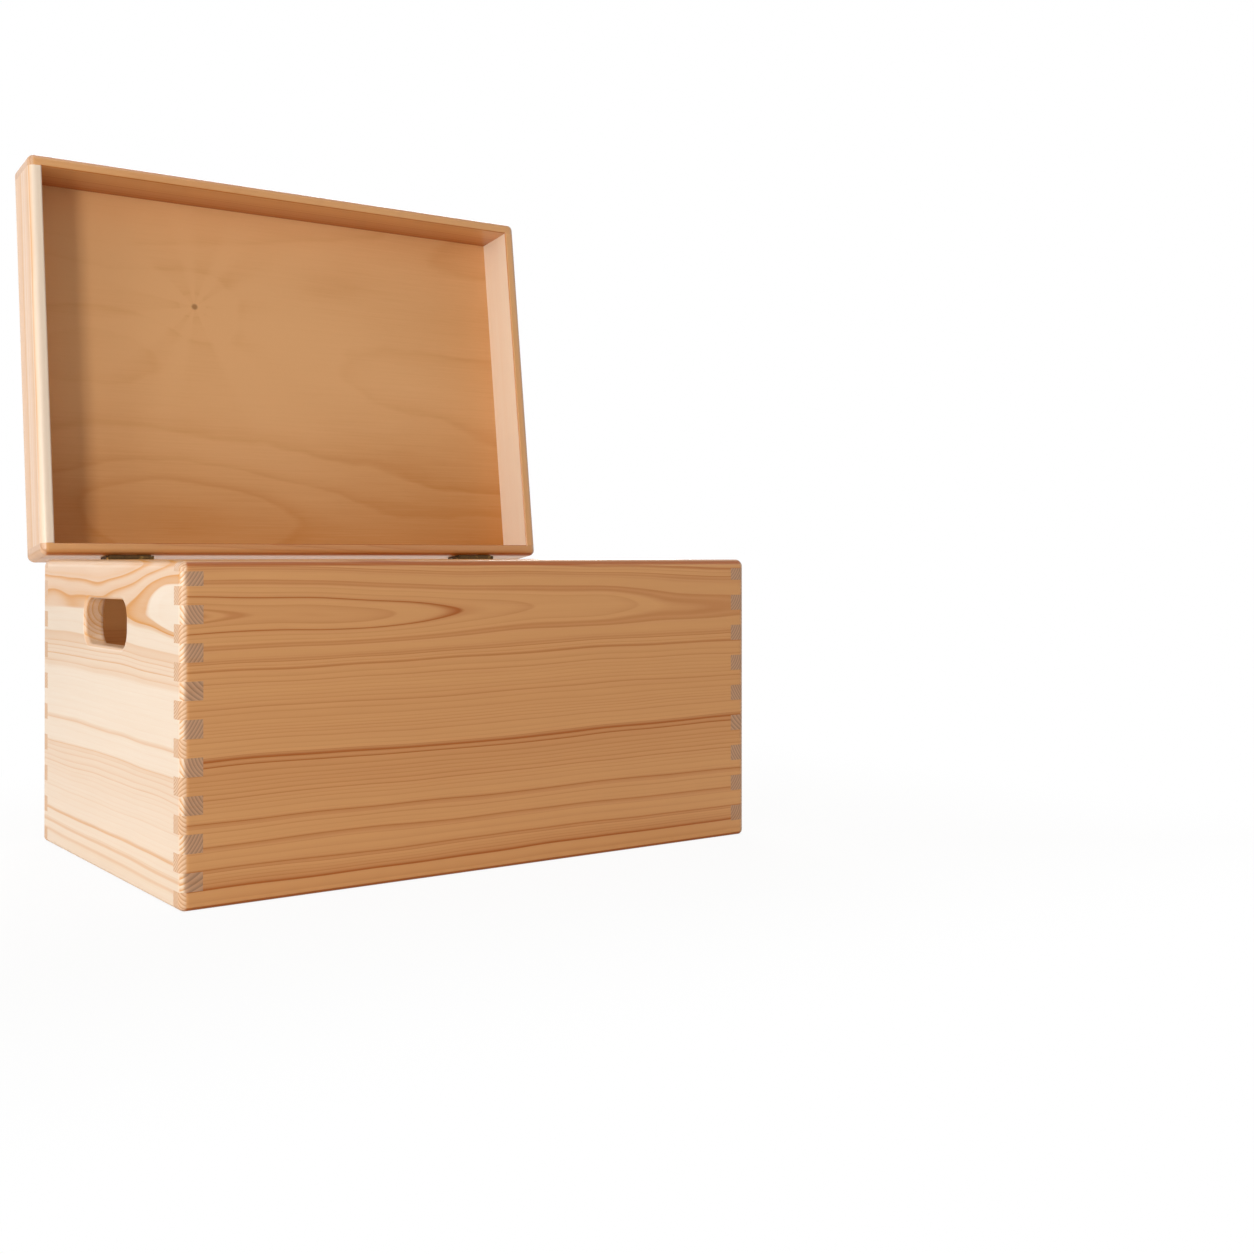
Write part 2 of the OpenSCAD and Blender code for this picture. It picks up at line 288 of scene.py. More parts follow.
class PrintSettings(bpy.types.PropertyGroup):
    """The inks of the printed lid"""
    coral: colour("Coral", "Hearts, flags and flowers", "CB6A70")
    pink: colour("Pink", "Hills and petals", "E2A59A")
    crimson: colour("Crimson", "Darkest red", "B4525F")
    blue: colour("Blue", "Balloon, wings and flags", "8299B1")
    mist: colour("Mist", "Pale blue", "B3B9C2")
    sage: colour("Sage", "Leaves and stems", "A3A587")
    peach: colour("Peach", "Balloon, flags and hills", "E4AC7C")
    cream: colour("Cream", "Lightest stripes", "F1DBC0")
    umber: colour("Umber", "Basket, ropes and dots", "9C6F50")


class MetalSettings(bpy.types.PropertyGroup):
    """What the hinges look like"""
    dark: colour("Tarnish", "The plating where it has darkened", "4E3A24")
    bright: colour("Bright plating", "The plating where it is rubbed", "A07C45")


class StudioSettings(bpy.types.PropertyGroup):
    """Camera and lights"""
    camera: FloatVectorProperty(name="Camera", description="Place of the camera",
                                default=(-0.4935, -1.0712, 0.2023), unit="LENGTH",
                                subtype="TRANSLATION")
    heading: FloatProperty(name="Heading", description="Turn to the right of straight ahead",
                           default=math.radians(39.84), subtype="ANGLE")
    dip: FloatProperty(name="Dip", description="How far the camera looks down",
                       default=math.radians(-0.27), subtype="ANGLE")
    power: FloatProperty(name="Light", description="Scales all lamps together", default=1.0, min=0)


# ---- Materials ----

@dataclass
class Board:
    """How one piece of pine was sawn, in the millimetres of its grain space."""
    node: str
    outward: Vector  # where its face looks when the lid is closed
    seed: float
    lid: bool = False
    warm: bool = False  # a long board, warmer and darker than the short ones: partly its own tone, partly painted shade
    pith: tuple = (0, -30)  # across and out, where the tree's middle lies
    lean: tuple = (0, 0)  # how much that place shifts for each millimetre along the grain
    dive: tuple = (0, 1, 0)  # from where to where along the grain it comes nearer, and by how much
    above: float = 1.0  # how fast the years pass above the pith, against below it
    ring: float = 3.2  # width of a year's growth
    bands: tuple = None  # rows of (distance from the pith, depth of colour) of the broad bands
    combed: bool = False
    contrast: float = 1.0  # how far the single years stand out
    warm_rim: bool = False  # whether the narrow edges take a warm board's darker colour, as painted shade

    def __post_init__(self):
        closing = CLOSING if self.lid else STILL
        unturn = closing.to_3x3().inverted()
        self.space = grain_space(self.node, UP, self.outward, closing)
        self.grain = (unturn @ UP.cross(self.outward)).normalized()
        self.width = (unturn @ UP).normalized()
        self.reach = max((self.space @ v.co).x for v in NODES[self.node].data.vertices)


# Broad bands of the two walls that face the viewer, above the pith, below it and far from it.
# Each row holds millimetres from the pith and how deep the colour is there.
LEFT_BANDS = (
    ((0, 0.02), (13.4, 0), (13.65, 0.75), (15, 0.48), (16.3, 0.34), (17.6, 0.58), (19, 0.34),
     (20.6, 0.58), (22.4, 0.3), (24.5, 0.27), (26.5, 0.52), (28.5, 0.32), (50, 0.32)),
    ((0, 0.02), (13.4, 0), (13.65, 0.65), (15.8, 0.45), (16.7, 0.04), (23.8, 0.02), (24.4, 0.44),
     (27, 0.32), (34, 0.16), (44, 0.24), (45.4, 0.03), (50, 0.02)),
    ((0, 0.02), (76.5, 0.02), (78.3, 0.4), (80.5, 0.04), (93, 0.02), (94.6, 0.36), (97, 0.2),
     (116, 0.14), (124, 0.1), (140.5, 0.06), (142, 0.5), (144, 0.08), (149.5, 0.06),
     (151, 0.5), (153, 0.06), (156.5, 0.06), (158, 0.45), (160, 0.06), (180, 0.06)))
FRONT_NEAR = ((0, 0.15), (7.4, 0.15), (8.2, 0.6), (8.5, 0.2), (8.8, 0.25), (9.1, 0.65), (9.4, 0.2),
              (12.6, 0.18), (13.2, 0.46), (14, 0.2), (18.2, 0.16), (19, 0.46), (19.8, 0.2),
              (25.8, 0.16), (26.8, 0.48), (27.6, 0.2), (31, 0.18), (31.8, 0.42), (32.6, 0.2),
              (50, 0.16))
FRONT_BANDS = (FRONT_NEAR, FRONT_NEAR, (
    (0, 0.18), (60, 0.2), (82.5, 0.16), (84.3, 0.85), (86, 0.32), (104, 0.22), (118.5, 0.14),
    (120.5, 0.5), (122.5, 0.16), (132, 0.14), (133.5, 0.5), (135.5, 0.14), (145, 0.14),
    (146.5, 0.5), (148.5, 0.14), (156, 0.4), (158, 0.16), (170, 0.2)))
FAR = 48  # millimetres from the pith, where the far row takes over
FINGERS = 13.5  # millimetres from the end of a combed board to where its fingers have ended


def broad_bands(finish, board, radius, side):
    """How deep the broad bands' colour is: above the pith, below it, and far from it."""
    if board.bands is None:
        return finish.wander(radius / 21 + board.seed * 5, detail=1).rise(0.4, 0.75) * 0.32
    above, below, far = (finish.levels(radius, row) for row in board.bands)
    near = below + (above - below) * side.rise(-1, 1)
    return near + (far - near) * radius.rise(FAR - 1, FAR + 1)


def yearly_rings(finish, board, place):
    """Rings round a pith line: each year's late wood, its strength, and the broad bands."""
    along, across, out = finish.split(place)
    sway = (finish.noise(place, (190, 55, 60), board.seed) - 0.5) * 9
    stray = (finish.noise(place, (110, 45, 45), board.seed + 7.3, detail=1) - 0.5) * 7
    side = across - board.pith[0] + along * board.lean[0] + sway
    side = side * ((1 + board.above) / 2) - abs(side) * ((1 - board.above) / 2)
    start, end, drop = board.dive
    depth = out - board.pith[1] + along * board.lean[1] + stray - along.rise(start, end) * drop
    radius = (side * side + depth * depth) ** 0.5
    year = radius / board.ring + finish.wander(radius / (4.1 * board.ring)) * 2.2
    count = year.floor()
    part = year - count
    late = part ** 4 * part.rise(1, 0.9)
    strength = finish.lot(count + board.seed) ** 2.5
    return late, strength, broad_bands(finish, board, radius, side)


def pine(board, wood):
    """Sawn pine, whose faces and sawn ends show the same rings."""
    finish = Finish(board.node + "_pine", Roughness=0.42, Specular_IOR_Level=0.1,
                    Coat_Weight=wood.gloss, Coat_Roughness=0.24, Coat_IOR=1.5)
    # A warm board takes the darker colours, partly as painted shade.
    light, line, end, end_line = (
        (wood.warm, wood.warm_line, wood.warm_end, wood.warm_end_line) if board.warm else
        (wood.pale, wood.pale_line, wood.end, wood.end_line))
    place = finish.place(board.space)
    late, strength, band = yearly_rings(finish, board, place)

    fibres = finish.noise(place, (34, 0.5, 0.5), board.seed, detail=3, rough=0.6)
    streaks = finish.noise(place, (160, 4.5, 6), board.seed + 2)
    # The years show most inside the broad bands.
    shade = late * (0.3 + 0.7 * strength) * (0.08 + band.rise(0, 0.4) * 0.9) * board.contrast + band
    shade = shade + (fibres - 0.5) * 0.16 + (streaks - 0.5) * 0.16 + 0.03
    edgeways = finish.facing(board.width)
    rounding_shade = edgeways.rise(0.2, 0.45) * edgeways.rise(0.93, 0.7)  # painted shade on the roundings only, where they would mirror darker surroundings
    face = finish.mix(shade + rounding_shade * (0.7 if board.warm else 0.2), light, line)
    # Painted shade: on such a board the narrow edges take the darker warm pine, as the shaded long
    # boards do.
    if board.warm_rim:
        rim = finish.mix(shade * 0.6 + rounding_shade * 0.6, wood.warm, wood.warm_line)
        face = finish.mix(edgeways.rise(0.1, 0.4), face, rim)

    square = finish.facing(board.grain)
    end_rings, tone = late * 0.5 + 0.35, 0.3
    if board.combed:
        along, across, out = finish.split(place)
        foot = board.reach - FINGERS
        joint = abs(along).rise(foot - 0.5, foot + 0.5)
        end_rings = end_rings + (finger_rings(finish, across, out, board.seed) - end_rings) * joint
        tone = 0.3 + 0.7 * joint
    tone = 1 if board.warm else square.rise(0.72, 0.97) * tone
    pores = finish.noise(place, (3, 0.35, 0.35), board.seed + 3)
    sawn = finish.mix((end_rings * 0.75 + pores * 0.5).rise(0.1, 0.95),
                      finish.mix(tone, light, end), finish.mix(tone, line, end_line))
    square = square.rise(0.2, 0.5)
    finish.feed("Base Color", finish.mix(square * 0.9, face, sawn))
    finish.feed("Roughness", 0.36 + fibres * 0.1 + square * 0.12)
    finish.bump(fibres * 0.5 + late * 0.3 + square * pores * 0.6, 0.00006, 0.5)
    return finish.material


def finger_rings(finish, across, out, seed):
    """Rings in a comb joint's finger ends, which slant one way or the other."""
    pair = 21.8  # from one finger to the next, in millimetres
    finger = (across / pair).floor()
    chance = finish.lot(finger + seed * 3)
    slant = chance.rise(0.45, 0.55) * 2 - 1
    away = 14 + chance * 30  # how far off the pith lies
    side = across - (finger + 0.5) * pair - away * 0.8
    depth = out * slant + 5 * slant - away
    year = (side * side + depth * depth) ** 0.5 / 1.9
    part = year - year.floor()
    return part ** 1.5 * part.rise(1, 0.8)


def veneer(finish, place, wood):
    """Rotary-cut birch: faint wavy contours, short flecks and a pin knot on the inner face."""
    knot_along, knot_across = -71, 93
    along, across, out = finish.split(place)
    inner = out.rise(-1.6, -2.4)
    layered = finish.add("ShaderNodeCombineXYZ", {}, {0: along, 1: across, 2: inner * 400})
    knot_side, knot_rise = along - knot_along, across - knot_across
    apart = (knot_side * knot_side + knot_rise * knot_rise) ** 0.5
    hills = finish.noise(layered, (380, 130, 120), 4.1, detail=1, rough=0.4)
    ripples = finish.noise(layered, (50, 22, 60), 8)
    year = hills * 13 + apart.fade(30) * inner * 2.2 + ripples * 0.5
    count = year.floor()
    part = year - count
    contour = part ** 4 * part.rise(1, 0.85) * (0.35 + 0.65 * finish.lot(count))
    spokes = finish.wander(knot_side.maths("ARCTAN2", knot_rise, knot_side) * 1.7 + 20)
    rays = spokes.rise(0.4, 0.65) * apart.fade(55) * inner
    flecks = finish.noise(layered, (7, 0.55, 1), 1.5).rise(0.55, 0.78)
    fibres = finish.noise(layered, (60, 1.3, 1), 2.2, detail=3, rough=0.6)
    cloud = finish.noise(layered, (150, 70, 100), 6.6, detail=1)
    shade = contour * 0.45 + flecks * (0.3 - 0.22 * inner) + (fibres - 0.5) * 0.4
    shade = shade + (cloud - 0.5) * 0.5 - rays * 0.6
    # Painted shade: the inner face darkens towards the hinge side and towards the right, and is lifted
    # a little overall, as the open lid's inside gets less light low down and to the right.
    shade = shade + (across.rise(150, 320) * 0.8 + along.rise(0, 190) * 0.25 - 0.1) * inner
    line = finish.mix(inner, wood.birch_line, wood.inside_line)
    face = finish.mix(shade.rise(-0.3, 1.2), finish.mix(inner, wood.birch, wood.inside), line)
    pin = apart.rise(3.2, 1.2) * inner
    finish.bump(fibres * 0.4 - flecks * 0.3, 0.00004, 0.4)
    return finish.mix(pin * 0.9, face, wood.core)


def plywood(name, space, wood, thickness):
    """Plywood with its middle layer showing in the edges."""
    finish = Finish(name, Roughness=0.55, Specular_IOR_Level=0.15, Coat_Weight=wood.gloss * 0.2,
                    Coat_Roughness=0.3)
    place = finish.place(space)
    face = veneer(finish, place, wood)
    depth = finish.split(place)[2] * -1
    ply, seam = thickness / 3, 0.08
    middle = depth.rise(ply - seam, ply + seam) * depth.rise(2 * ply + seam, 2 * ply - seam)
    pores = finish.noise(place, (0.5, 0.5, 0.3), 9)
    core = finish.mix(pores.rise(0.3, 0.8), wood.core, wood.end_line)
    finish.feed("Base Color", finish.mix(middle * 0.7, face, core))
    return finish.material


def printed_birch(space, wood):
    """Print on birch: each patch's own ink, pooled at its edges, with the wood showing through."""
    finish = Finish("printed_birch", Roughness=0.45, Coat_Weight=wood.gloss * 0.6,
                    Coat_Roughness=0.3)
    place = finish.place(space)
    face = veneer(finish, place, wood)
    grain = finish.mix(1, face, wood.birch, "DIVIDE")
    tint = finish.add("ShaderNodeAttribute", {"attribute_name": "ink"})
    pool = finish.add("ShaderNodeAttribute", {"attribute_name": "pool"}, output="Fac")
    wash = finish.noise(place, (26, 20, 20), 3.3, detail=3, rough=0.55)
    grit = finish.noise(place, (0.9, 0.9, 0.9), 5.1)
    deep = finish.mix(1, tint, tint, "MULTIPLY")
    rim = (pool ** 2 * 0.75 + (wash - 0.5) * 1.5 + (grit - 0.5) * 0.5 + 0.1).rise(0, 1)
    painted = finish.mix(rim, tint, deep)
    faded = (0.53 - wash).rise(-0.04, 0.16) * 0.45 + grit.rise(0.55, 0.75) * 0.2
    painted = finish.mix(faded * (1 - pool * 0.6), painted, wood.birch)
    finish.feed("Base Color", finish.mix(1, painted, grain, "MULTIPLY"))
    return finish.material


def plated(name, metal, tarnish):
    """Brass plating that has darkened, and is rubbed bright in places."""
    finish = Finish(name, Metallic=1.0, Roughness=0.4)
    place = finish.place(Matrix.Scale(1 / MM, 4))
    patches = finish.noise(place, (6, 6, 6), 1, detail=4, rough=0.65)
    scuffs = finish.noise(place, (4, 0.3, 0.3), 2)
    bright = (patches + (scuffs - 0.5) * 0.3).rise(tarnish - 0.12, tarnish + 0.2)
    finish.feed("Base Color", finish.mix(bright, metal.dark, metal.bright))
    finish.feed("Roughness", 0.48 - bright * 0.2 + scuffs * 0.08)
    finish.bump(patches * 0.5 + scuffs * 0.5, 0.00003, 0.4)
    return finish.material


def paper_white(name):
    """The studio's floor: white to the camera, but it keeps the box's shadow."""
    finish = Finish(name, Base_Color=(0.9, 0.88, 0.87), Roughness=0.9, Specular_IOR_Level=0.1)
    seen = finish.add("ShaderNodeLightPath")
    glow = finish.add("ShaderNodeEmission", {}, {"Color": (1, 1, 1), "Strength": 1.0})
    east, north = finish.split(finish.add("ShaderNodeTexCoord", output="Object"))[:2]
    half_length, half_depth = CAD_BOX[1][0], -CAD_BOX[0][1]
    clear = east.maths("MAXIMUM", abs(east) - half_length, abs(north) - half_depth)
    shown = 0.06  # how much of the lit floor, and so of the shadow, the camera sees near the box
    share = seen * ((1 - shown) * clear.rise(-0.004, -0.001) + shown * clear.rise(0.04, 0.4))
    surface = finish.tree.nodes["Material Output"].inputs["Surface"]
    shader = Value(finish, finish.shader.outputs[0])
    finish.fill(surface, finish.add("ShaderNodeMixShader", {}, {0: share, 1: shader, 2: glow}))
    return finish.material


def dress(node, material):
    NODES[node].material_slots[0].material = material


def new_object(name, data):
    """An object in the scene that shows some data."""
    made = bpy.data.objects.new(name, data)
    bpy.context.scene.collection.objects.link(made)
    return made


# ---- The print ----

def oval(x, y, width, height, count=40):
    """An oval about a point, with count corners."""
    return [(x + width / 2 * math.cos(t), y + height / 2 * math.sin(t))
            for t in (2 * math.pi * i / count for i in range(count))]


def heart(x, y, size):
    """A heart as wide as size, by the usual sine curve."""
    outline = []
    for i in range(48):
        t = 2 * math.pi * i / 48
        across = 16 * math.sin(t) ** 3
        rise = 13 * math.cos(t) - 5 * math.cos(2 * t) - 2 * math.cos(3 * t) - math.cos(4 * t)
        outline.append((x - across * size / 32, y + rise * size / 32))
    return outline


def star(x, y, size):
    """A star with five points."""
    outline = []
    for i in range(10):
        reach = size / 2 * (1 if i % 2 == 0 else 0.45)
        angle = math.pi / 2 + math.pi * i / 5
        outline.append((x + reach * math.cos(angle), y + reach * math.sin(angle)))
    return outline


def leaf(length, width):
    """A leaf that starts at the origin and points along +x."""
    count = 12
    upper = [(length * i / count, width / 2 * math.sin(math.pi * (i / count) ** 0.8))
             for i in range(count + 1)]
    return [(x, -y) for x, y in upper] + upper[-2:0:-1]


def turned(outline, angle, x=0, y=0):
    """An outline turned about the origin, and then moved."""
    c, s = math.cos(angle), math.sin(angle)
    return [(x + c * px - s * py, y + s * px + c * py) for px, py in outline]


def ribbon(points, width):
    """A band of one width along a row of points."""
    left, right = [], []
    for i, (x, y) in enumerate(points):
        ahead, behind = points[min(i + 1, len(points) - 1)], points[max(i - 1, 0)]
        run = Vector((ahead[0] - behind[0], ahead[1] - behind[1])).normalized() * width / 2
        left.append((x - run.y, y + run.x))
        right.append((x + run.y, y - run.x))
    return right + left[::-1]


def shrunk(outline, rim):
    """The same outline drawn in towards its middle by about rim."""
    middle = Vector((sum(p[0] for p in outline), sum(p[1] for p in outline))) / len(outline)
    mean = sum((Vector(p) - middle).length for p in outline) / len(outline)
    share = max(0.4, 1 - rim / mean)
    return [tuple(middle + (Vector(p) - middle) * share) for p in outline]


class Patches:
    """Closed patches of ink, as thin as a hair, that become one piece of the print."""

    FIRST, STEP, SUNK = 0.05, 0.03, 0.02  # millimetres over and under the wood's face

    def __init__(self, name):
        self.name = name
        self.mesh = bmesh.new()
        self.ink = self.mesh.verts.layers.float_color.new("ink")
        self.pool = self.mesh.verts.layers.float.new("pool")

    def loop(self, outline, height, ink, pool):
        verts = [self.mesh.verts.new((x, y, height)) for x, y in outline]
        for vert in verts:
            vert[self.ink] = (*ink, 1)
            vert[self.pool] = pool
        return verts

    def add(self, outline, ink, layer=0, rim=1.6, inner=None):
        """One patch. Its rim, where the ink pools, reaches in to the inner outline."""
        top = self.FIRST + layer * self.STEP
        low = self.loop(outline, -self.SUNK, ink, 1)
        edge = self.loop(outline, top, ink, 1)
        field = self.loop(inner or shrunk(outline, rim), top, ink, 0)
        self.mesh.faces.new(low[::-1])
        self.mesh.faces.new(field)
        for i in range(len(outline)):
            j = (i + 1) % len(outline)
            self.mesh.faces.new((low[i], low[j], edge[j], edge[i]))
            self.mesh.faces.new((edge[i], edge[j], field[j], field[i]))

    def plain(self):
        """A plain mesh object, still in the print's own millimetres."""
        mesh = bpy.data.meshes.new(self.name)
        bmesh.ops.recalc_face_normals(self.mesh, faces=self.mesh.faces)
        self.mesh.to_mesh(mesh)
        self.mesh.free()
        return new_object(self.name, mesh)


def onto_lid(piece, space, material):
    """Lays a piece of the print on the lid's outer face, and lets it ride there."""
    piece.data.transform(space.inverted())
    piece.data.materials.clear()
    piece.data.materials.append(material)
    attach(piece, "lid")


def row_tree():
    """Geometry nodes that repeat a template along a curve, with three inks taken in turn."""
    group = bpy.data.node_groups.new("row_along_path", "GeometryNodeTree")
    for name, kind in (("Path", "Geometry"), ("Template", "Object"), ("Count", "Int"),
                       ("Fan", "Float"), ("Smallest", "Float"), ("Seed", "Int"),
                       ("First ink", "Color"), ("Second ink", "Color"), ("Third ink", "Color"),
                       ("Finish", "Material")):
        group.interface.new_socket(name, in_out="INPUT", socket_type="NodeSocket" + kind)
    group.interface.new_socket("Row", in_out="OUTPUT", socket_type="NodeSocketGeometry")
    tree = Tree(group)
    given = tree.add("NodeGroupInput").other

    index = tree.add("GeometryNodeInputIndex")
    places = tree.add("GeometryNodeCurveToPoints", {"mode": "COUNT"},
                      {"Curve": given("Path"), "Count": given("Count")})
    heading = tree.add("FunctionNodeAlignRotationToVector", {"axis": "X"},
                       {"Vector": places.other("Tangent")})
    turn = tree.add("FunctionNodeAxisAngleToRotation", {},
                    {"Axis": (0, 0, 1), "Angle": (index % 2 * 2 - 1) * given("Fan")})
    rotation = tree.add("FunctionNodeRotateRotation", {"rotation_space": "LOCAL"},
                        {0: heading, 1: turn})
    size = tree.add("FunctionNodeRandomValue", {"data_type": "FLOAT"},
                    {2: given("Smallest"), 3: 1.0, "Seed": given("Seed")}, output=1)
    template = tree.add("GeometryNodeObjectInfo", {}, {"Object": given("Template")})
    row = tree.add("GeometryNodeInstanceOnPoints", {},
                   {"Points": places, "Instance": template.other("Geometry"),
                    "Rotation": rotation, "Scale": size})
    ink = given("First ink")
    for place_in_turn, name in ((1, "Second ink"), (2, "Third ink")):
        chosen = index.maths("COMPARE", index % 3, place_in_turn, 0.5)
        ink = tree.mix(chosen, ink, given(name))
    inked = tree.add("GeometryNodeStoreNamedAttribute",
                     {"data_type": "FLOAT_COLOR", "domain": "INSTANCE"},
                     {"Geometry": row, "Name": "ink", "Value": ink})
    real = tree.add("GeometryNodeRealizeInstances", {}, {0: inked})
    dressed = tree.add("GeometryNodeSetMaterial", {}, {0: real, "Material": given("Finish")})
    tree.fill(group.nodes.new("NodeGroupOutput").inputs[0], dressed)
    return group


def path_of(points, closed=False):
    """A curve through points, for the geometry nodes to follow."""
    curve = bpy.data.curves.new("path", "CURVE")
    curve.dimensions = "3D"
    spline = curve.splines.new("POLY")
    spline.points.add(len(points) - 1)
    for point, (x, y) in zip(spline.points, points):
        point.co = (x, y, 0, 1)
    spline.use_cyclic_u = closed
    return new_object("path", curve)


def row_along(name, tree, path, template, count, inks, finish, fan=0.0, smallest=1.0, seed=1):
    """Repeats a template along a path with the tree, and returns the plain mesh piece."""
    template.data.attributes.remove(template.data.attributes["ink"])
    modifier = path.modifiers.new("row", "NODES")
    modifier.node_group = tree
    given = {"Template": template, "Count": count, "Fan": fan, "Smallest": smallest,
             "Seed": seed, "Finish": finish}
    given.update(zip(("First ink", "Second ink", "Third ink"), ((*ink, 1) for ink in inks)))
    for socket in tree.interface.items_tree:
        if socket.name in given:
            modifier[socket.identifier] = given[socket.name]
    graph = bpy.context.evaluated_depsgraph_get()
    mesh = bpy.data.meshes.new_from_object(path.evaluated_get(graph), depsgraph=graph)
    mesh.name = name
    for used in (path, template):
        bpy.data.objects.remove(used)
    return new_object(name, mesh)


# Where the print ends, in millimetres of the page, whose x runs from its middle.
PAGE_MARGIN = 6
PAGE_RIGHT, PAGE_FOOT = round(CAD_BOX[1][0] / MM) - PAGE_MARGIN, PAGE_MARGIN + 1
PAGE_LEFT = -PAGE_RIGHT


def hills(height, swell, length, shift, side=0.0, drop=0.0):
    """A range of hills' outline, drawn in by side at its ends and foot, and lower by drop."""
    left, right, foot = PAGE_LEFT + side, PAGE_RIGHT - side, PAGE_FOOT + side
    outline = [(left, foot), (right, foot)]
    for x in range(PAGE_RIGHT, PAGE_LEFT - 1, -4):
        x = max(left, min(right, x))
        wave = math.sin(x / length + shift) + 0.4 * math.sin(2.7 * x / length)
        outline.append((x, height + swell * wave - drop))
    return outline


def paint_hills(inks):
    """Three ranges of low hills along the print's foot, with round trees on them."""
    patches = Patches("print_hills")
    ranges = ((46, 9, 64, 0.5, inks.mist), (33, 8, 47, 2.6, inks.peach), (20, 5, 36, 4.4, inks.pink))
    for layer, (*shape, ink) in enumerate(ranges):
        patches.add(hills(*shape), ink, 2 * layer, inner=hills(*shape, side=0.4, drop=2.2))
    for x, foot, height, ink, layer in ((-172, 48, 40, inks.sage, 1), (-150, 46, 28, inks.mist, 3),
                                         (-62, 40, 34, inks.sage, 1), (-42, 34, 22, inks.peach, 3),
                                         (74, 44, 30, inks.sage, 1)):
        patches.add(ribbon([(x, foot - 24), (x, foot + height * 0.5)], 1.6), inks.umber, layer, 0.4)
        patches.add(oval(x, foot + height * 0.55, height * 0.52, height * 0.9), ink, layer + 0.5)
    return patches.plain()


def envelope():
    """A balloon's outline from its crown down to its neck, for a radius of 1."""
    steps = 20
    shoulder = math.radians(100)  # where the round crown passes into the taper
    round_part = [(math.sin(shoulder * i / steps), math.cos(shoulder * i / steps))
                  for i in range(1, steps + 1)]
    (x, y), neck = round_part[-1], (0.2, -1.28)
    bend = (x + 0.5 * math.cos(shoulder), y - 0.5 * math.sin(shoulder))
    taper = []
    for i in range(1, steps + 1):
        t = i / steps
        taper.append(tuple((1 - t) ** 2 * p + 2 * t * (1 - t) * q + t * t * r
                           for p, q, r in zip((x, y), bend, neck)))
    return round_part + taper


def gore(radius, first, last, inset=0.0):
    """One stripe of a balloon, between two of its seams, which lie from -1 at the left to 1."""
    side = envelope()
    left, right = first + inset, last - inset
    top = ((first + last) / 2 * side[0][0] * 0.3, side[0][1] + (0.002 if inset == 0 else -0.01))
    points = [top] + [(left * x, y) for x, y in side] + [(right * x, y) for x, y in side[::-1]]
    foot = side[-1][1] + inset / 3
    return [(x * radius, max(y, foot) * radius) for x, y in points]


def paint_balloon(name, x, y, radius, stripes, inks):
    """A hot-air balloon with striped gores, a belt of dots, ropes and a basket."""
    patches = Patches(name)
    seams = [math.sin(math.pi * (i / len(stripes) - 0.5)) for i in range(len(stripes) + 1)]
    for i, ink in enumerate(stripes):
        first, last = seams[i], seams[i + 1]
        inset = min(0.3 * (last - first), 1.4 / radius)
        patches.add(turned(gore(radius, first, last), 0, x, y), ink, 0,
                    inner=turned(gore(radius, first, last, inset), 0, x, y))
    for i in range(len(stripes) * 2 - 1):
        across = math.sin(math.pi * ((i + 1) / (2 * len(stripes)) - 0.5))
        sag = 0.12 * radius * (1 - across * across)
        size = radius * 0.07 * (0.5 + 0.5 * math.sqrt(1 - across * across))
        patches.add(oval(x + across * radius * 0.985, y - sag - 0.1 * radius, size, size * 1.3, 16),
                    inks.umber if i % 2 else inks.cream, 1, 0.3)
    basket_top, basket_foot = y - 1.72 * radius, y - 2.05 * radius
    for share in (-1, -0.35, 0.35, 1):
        rope = [(x + share * radius * 0.19, y - 1.3 * radius), (x + share * radius * 0.17, basket_top)]
        patches.add(ribbon(rope, 0.7), inks.umber, 1, 0.2)
    half_top, half_foot = radius * 0.21, radius * 0.16
    patches.add([(x - half_top, basket_top), (x - half_foot, basket_foot),
                 (x + half_foot, basket_foot), (x + half_top, basket_top)], inks.umber, 2, 1)
    for height, half, width in ((basket_top, half_top * 1.1, radius * 0.06),
                                (y - 1.27 * radius, radius * 0.2, radius * 0.07)):
        patches.add(ribbon([(x - half, height), (x + half, height)], width), inks.crimson, 3, 0.4)
    return patches.plain()


def garland_point(share):
    """The bunting's string: two swags, from share 0 at the left to 1 at the right."""
    hung, sag, gap = 286, 22, 6  # millimetres: its height, how far it sags, and space at its ends
    swag = share * 2 % 1 if share < 1 else 1
    across = PAGE_LEFT + gap + share * (PAGE_RIGHT - PAGE_LEFT - 2 * gap)
    return across, hung - 4 * sag * swag * (1 - swag)


def paint_garland(inks, tree, finish):
    """Bunting in two swags along the print's top, as a string and a row of flags."""
    string = Patches("print_garland_string")
    for half in (0, 0.5):
        points = [garland_point(half + 0.4999 * i / 24) for i in range(25)]
        string.add(ribbon(points, 1.1), inks.umber, 0, 0.3)
    flag = Patches("flag")
    flag.add([(-6.5, 0), (0, -17), (6.5, 0)], inks.coral, 1, 1.2)
    path = path_of([garland_point(0.02 + 0.96 * i / 60) for i in range(61)])
    flags = row_along("print_flags", tree, path, flag.plain(), 23,
                      (inks.coral, inks.peach, inks.blue), finish)
    return [string.plain(), flags]


def blossom(patches, x, y, size, petal_ink, heart_ink, petals=5, layer=2):
    """A flower seen from above."""
    for i in range(petals):
        angle = 2 * math.pi * i / petals + 0.3
        petal = [(px + size * 0.06, py) for px, py in leaf(size * 0.44, size * 0.34)]
        patches.add(turned(petal, angle, x, y), petal_ink, layer + 0.12 * i, size * 0.05)
    patches.add(oval(x, y, size * 0.26, size * 0.26, 16), heart_ink, layer + 1.5, 0.5)


